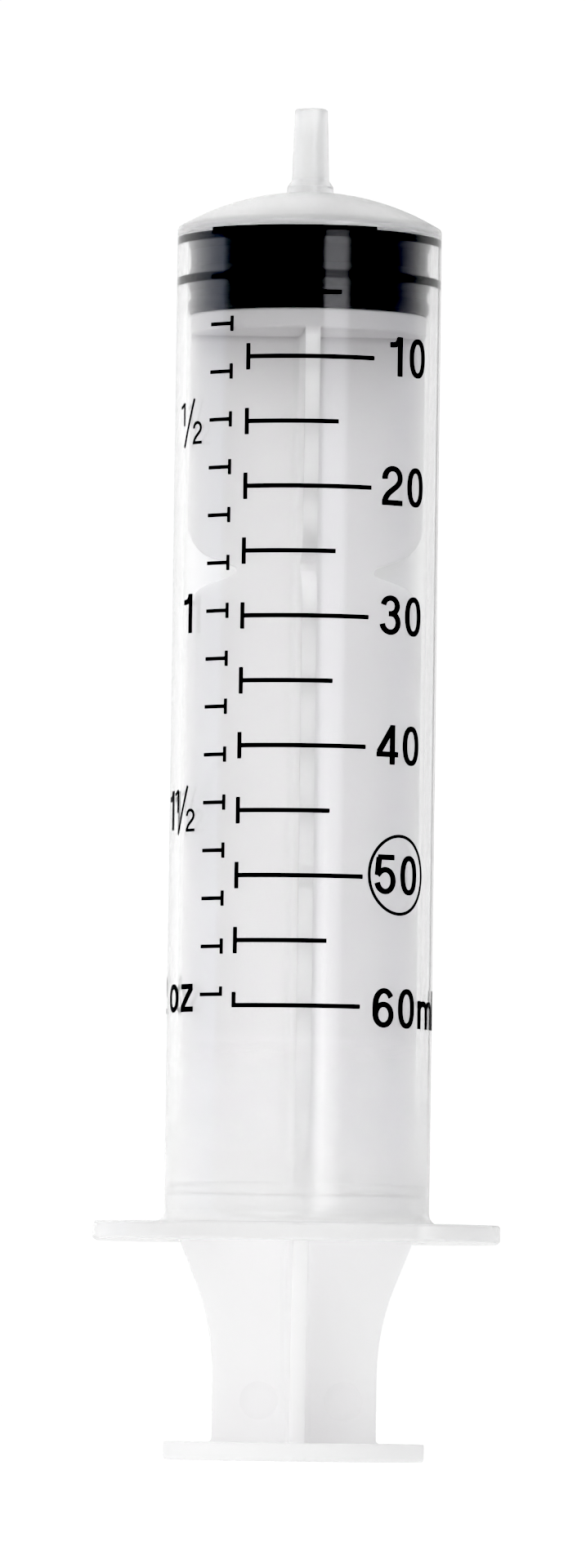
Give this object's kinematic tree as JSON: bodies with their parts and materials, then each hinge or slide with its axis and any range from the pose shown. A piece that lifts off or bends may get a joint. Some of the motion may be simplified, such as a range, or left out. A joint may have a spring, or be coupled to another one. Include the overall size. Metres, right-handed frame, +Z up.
{
  "type": "luer slip syringe",
  "caption": "Large disposable syringe with a plain tapered slip tip, a printed barrel with two finger ears, a ribbed plunger rod and a black rubber stopper.",
  "frame": {"origin": "centre of the thumb rest's underside, on which the syringe stands with its tip up", "axes": "+Z up the syringe's axis to the tip, X along the flange's two ears, and the printed scales face -Y"},
  "size_m": [0.0478, 0.035, 0.1602],
  "materials": {
    "natural_polypropylene": "natural translucent polypropylene, moulded with a polished core and cavity",
    "white_polypropylene": "natural white polypropylene, moulded satin",
    "black_rubber": "black moulded rubber with a thin film of silicone oil",
    "black_ink": "black ink, screen printed on the barrel"
  },
  "bodies": {
    "plunger": {"plunger_rod": "white_polypropylene"},
    "stopper": {"stopper": "black_rubber"},
    "barrel": {"barrel": "natural_polypropylene", "millilitre_scale": "black_ink", "ounce_scale": "black_ink"}
  },
  "joints": [
    {"name": "rod_turn", "type": "hinge", "parent": "plunger", "child": "stopper", "pos_m": [0, 0, 0.1385], "axis": [0, 0, 1], "continuous": true},
    {"name": "barrel_slide", "type": "slide", "parent": "stopper", "child": "barrel", "axis": [0, 0, 1], "range_m": [0, 0.1025]}
  ]
}
